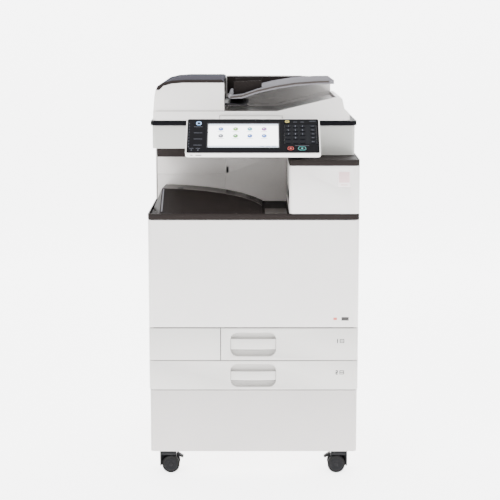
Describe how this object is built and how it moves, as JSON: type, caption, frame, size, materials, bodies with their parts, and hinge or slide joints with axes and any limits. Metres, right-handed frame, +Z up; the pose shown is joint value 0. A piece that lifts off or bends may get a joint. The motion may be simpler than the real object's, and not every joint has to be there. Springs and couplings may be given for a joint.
{
  "type": "photocopier",
  "caption": "Floor-standing multifunction photocopier with document feeder, tilting touch panel, dark output tray, pull-out paper trays and caster cabinet.",
  "frame": {"origin": "on the floor, at the middle of the machine's outline seen from above", "axes": "+X to the user's right, +Y to the rear of the machine, +Z up; the front faces -Y"},
  "size_m": [0.587, 0.685, 1.1145],
  "materials": {
    "cover_white": "fine-textured moulded covers, warm white",
    "feeder_white": "fine-textured moulded covers",
    "tray_white": "fine-textured moulding",
    "cabinet_white": "powder-coated sheet",
    "top_grey": "satin mid grey",
    "dark_trim": "satin charcoal",
    "output_dark": "satin charcoal brown",
    "grey_plastic": "matt grey",
    "panel_black": "gloss black",
    "display": "lit touch screen",
    "key_black": "matt key rubber",
    "key_green": "translucent green key",
    "key_red": "translucent red key",
    "key_yellow": "yellow key",
    "key_grey": "pale blue key",
    "steel": "zinc-plated sheet",
    "glass": "clear",
    "pad": "white pressure sheet",
    "roller_rubber": "matt",
    "caster_plastic": "black nylon",
    "toner_black": "matt",
    "toner_cyan": "matt",
    "toner_magenta": "matt",
    "toner_yellow": "matt"
  },
  "bodies": {
    "frame": {"cabinet_shell": "cabinet_white", "engine_frame": "steel", "left_cover": "cover_white", "right_cover": "cover_white", "rear_cover": "cover_white", "power_inlet": "dark_trim", "tray_bay_cover": "tray_white", "output_tray": "output_dark", "inner_wall": "grey_plastic", "exit_tower_cover": "cover_white", "exit_tower_lid": "dark_trim", "scanner_case": "cover_white", "cavity_ceiling": "dark_trim", "scanner_top_frame": "dark_trim", "exposure_glass": "glass", "panel_arm": "dark_trim", "toner_bottle_black": "toner_black", "toner_bottle_cyan": "toner_cyan", "toner_bottle_magenta": "toner_magenta", "toner_bottle_yellow": "toner_yellow", "drum_unit_black": "dark_trim", "drum_unit_colour": "dark_trim", "transfer_belt_unit": "dark_trim", "laser_unit": "dark_trim", "fuser_unit": "dark_trim"},
    "front_cover": {"front_cover": "cover_white"},
    "right_door": {"right_door": "cover_white"},
    "bypass_tray": {"bypass_tray": "cover_white"},
    "tray_1": {"tray_1": "tray_white"},
    "tray_2": {"tray_2": "tray_white"},
    "tray_1_lift": {"tray_1_lift_plate": "steel"},
    "tray_2_lift": {"tray_2_lift_plate": "steel"},
    "feeder": {"feeder_base": "feeder_white", "platen_pad": "pad", "feeder_housing": "feeder_white"},
    "feeder_cover": {"feeder_cover": "top_grey"},
    "feed_roller": {"feed_roller": "roller_rubber"},
    "document_tray": {"document_tray": "grey_plastic"},
    "guide_front": {"document_guide_front": "dark_trim"},
    "guide_rear": {"document_guide_rear": "dark_trim"},
    "scan_carriage": {"scan_carriage": "steel"},
    "panel": {"panel_housing": "cover_white", "panel_face": "panel_black", "touch_display": "display", "number_keys": "key_black"},
    "start_key": {"start_key": "key_green"},
    "stop_key": {"stop_key": "key_red"},
    "reset_key": {"reset_key": "key_yellow"},
    "home_key": {"home_key": "key_grey"},
    "exit_roller": {"exit_roller": "roller_rubber"},
    "caster_front_left": {"caster_body_front_left": "caster_plastic"},
    "wheels_front_left": {"caster_wheels_front_left": "roller_rubber"},
    "caster_front_right": {"caster_body_front_right": "caster_plastic"},
    "wheels_front_right": {"caster_wheels_front_right": "roller_rubber"},
    "caster_rear_left": {"caster_body_rear_left": "caster_plastic"},
    "wheels_rear_left": {"caster_wheels_rear_left": "roller_rubber"},
    "caster_rear_right": {"caster_body_rear_right": "caster_plastic"},
    "wheels_rear_right": {"caster_wheels_rear_right": "roller_rubber"},
    "lever_front_left": {"brake_lever_front_left": "caster_plastic"},
    "lever_front_right": {"brake_lever_front_right": "caster_plastic"}
  },
  "joints": [
    {"name": "caster_swivel_front_left", "type": "hinge", "parent": "frame", "child": "caster_front_left", "pos_m": [-0.254, -0.2115, 0.066], "axis": [0, 0, 1], "continuous": true},
    {"name": "wheel_spin_front_left", "type": "hinge", "parent": "caster_front_left", "child": "wheels_front_left", "pos_m": [-0.236, -0.2115, 0.025], "axis": [0, 1, 0], "continuous": true},
    {"name": "brake_front_left", "type": "hinge", "parent": "caster_front_left", "child": "lever_front_left", "pos_m": [-0.2195, -0.2115, 0.0525], "axis": [0, 1, 0], "range_deg": [-18, 0]},
    {"name": "caster_swivel_front_right", "type": "hinge", "parent": "frame", "child": "caster_front_right", "pos_m": [0.254, -0.2115, 0.066], "axis": [0, 0, 1], "continuous": true},
    {"name": "wheel_spin_front_right", "type": "hinge", "parent": "caster_front_right", "child": "wheels_front_right", "pos_m": [0.236, -0.2115, 0.025], "axis": [0, 1, 0], "continuous": true},
    {"name": "brake_front_right", "type": "hinge", "parent": "caster_front_right", "child": "lever_front_right", "pos_m": [0.2195, -0.2115, 0.0525], "axis": [0, -1, 0], "range_deg": [-18, 0]},
    {"name": "caster_swivel_rear_left", "type": "hinge", "parent": "frame", "child": "caster_rear_left", "pos_m": [-0.254, 0.2765, 0.066], "axis": [0, 0, 1], "continuous": true},
    {"name": "wheel_spin_rear_left", "type": "hinge", "parent": "caster_rear_left", "child": "wheels_rear_left", "pos_m": [-0.236, 0.2765, 0.025], "axis": [0, 1, 0], "continuous": true},
    {"name": "caster_swivel_rear_right", "type": "hinge", "parent": "frame", "child": "caster_rear_right", "pos_m": [0.254, 0.2765, 0.066], "axis": [0, 0, 1], "continuous": true},
    {"name": "wheel_spin_rear_right", "type": "hinge", "parent": "caster_rear_right", "child": "wheels_rear_right", "pos_m": [0.236, 0.2765, 0.025], "axis": [0, 1, 0], "continuous": true},
    {"name": "front_cover_hinge", "type": "hinge", "parent": "frame", "child": "front_cover", "pos_m": [0, -0.2515, 0.434], "axis": [1, 0, 0], "range_deg": [0, 85]},
    {"name": "right_door_hinge", "type": "hinge", "parent": "frame", "child": "right_door", "pos_m": [0.2895, 0, 0.434], "axis": [0, 1, 0], "range_deg": [0, 50]},
    {"name": "bypass_tray_hinge", "type": "hinge", "parent": "right_door", "child": "bypass_tray", "pos_m": [0.2905, 0, 0.4735], "axis": [0, 1, 0], "range_deg": [0, 75]},
    {"name": "tray_1_slide", "type": "slide", "parent": "frame", "child": "tray_1", "axis": [0, -1, 0], "range_m": [0, 0.4]},
    {"name": "tray_2_slide", "type": "slide", "parent": "frame", "child": "tray_2", "axis": [0, -1, 0], "range_m": [0, 0.4]},
    {"name": "tray_1_lift_hinge", "type": "hinge", "parent": "tray_1", "child": "tray_1_lift", "pos_m": [-0.073, 0.014, 0.3455], "axis": [0, -1, 0], "range_deg": [0, 6]},
    {"name": "tray_2_lift_hinge", "type": "hinge", "parent": "tray_2", "child": "tray_2_lift", "pos_m": [-0.246, 0.014, 0.2675], "axis": [0, -1, 0], "range_deg": [0, 5]},
    {"name": "feeder_hinge", "type": "hinge", "parent": "frame", "child": "feeder", "pos_m": [0, 0.3125, 1.007], "axis": [-1, 0, 0], "range_deg": [0, 65]},
    {"name": "feeder_cover_hinge", "type": "hinge", "parent": "feeder", "child": "feeder_cover", "pos_m": [-0.2775, 0.09, 1.0845], "axis": [0, -1, 0], "range_deg": [0, 75]},
    {"name": "feed_roller_spin", "type": "hinge", "parent": "feeder", "child": "feed_roller", "pos_m": [-0.1135, 0.09, 1.0805], "axis": [0, 1, 0], "continuous": true},
    {"name": "document_tray_hinge", "type": "hinge", "parent": "feeder", "child": "document_tray", "pos_m": [-0.0665, 0.08, 1.0665], "axis": [0, -1, 0], "range_deg": [0, 45]},
    {"name": "guide_front_slide", "type": "slide", "parent": "document_tray", "child": "guide_front", "axis": [0, 1, 0], "range_m": [0, 0.07]},
    {"name": "guide_rear_slide", "type": "slide", "parent": "document_tray", "child": "guide_rear", "axis": [0, 1, 0], "range_m": [-0.07, 0]},
    {"name": "scan_carriage_slide", "type": "slide", "parent": "frame", "child": "scan_carriage", "axis": [1, 0, 0], "range_m": [0, 0.42]},
    {"name": "panel_tilt", "type": "hinge", "parent": "frame", "child": "panel", "pos_m": [0.1, -0.2375, 0.95], "axis": [1, 0, 0], "range_deg": [-16, 40]},
    {"name": "start_key_press", "type": "slide", "parent": "panel", "child": "start_key", "axis": [0, 0.6293, -0.7771], "range_m": [0, 0.001], "stiffness_N_per_m": 800},
    {"name": "stop_key_press", "type": "slide", "parent": "panel", "child": "stop_key", "axis": [0, 0.6293, -0.7771], "range_m": [0, 0.001], "stiffness_N_per_m": 800},
    {"name": "reset_key_press", "type": "slide", "parent": "panel", "child": "reset_key", "axis": [0, 0.6293, -0.7771], "range_m": [0, 0.001], "stiffness_N_per_m": 800},
    {"name": "home_key_press", "type": "slide", "parent": "panel", "child": "home_key", "axis": [0, 0.6293, -0.7771], "range_m": [0, 0.001], "stiffness_N_per_m": 800},
    {"name": "exit_roller_spin", "type": "hinge", "parent": "frame", "child": "exit_roller", "pos_m": [0.113, 0, 0.785], "axis": [0, 1, 0], "continuous": true}
  ],
  "couplings": [
    {"joint": "guide_rear_slide", "follows": "guide_front_slide", "ratio": -1}
  ]
}
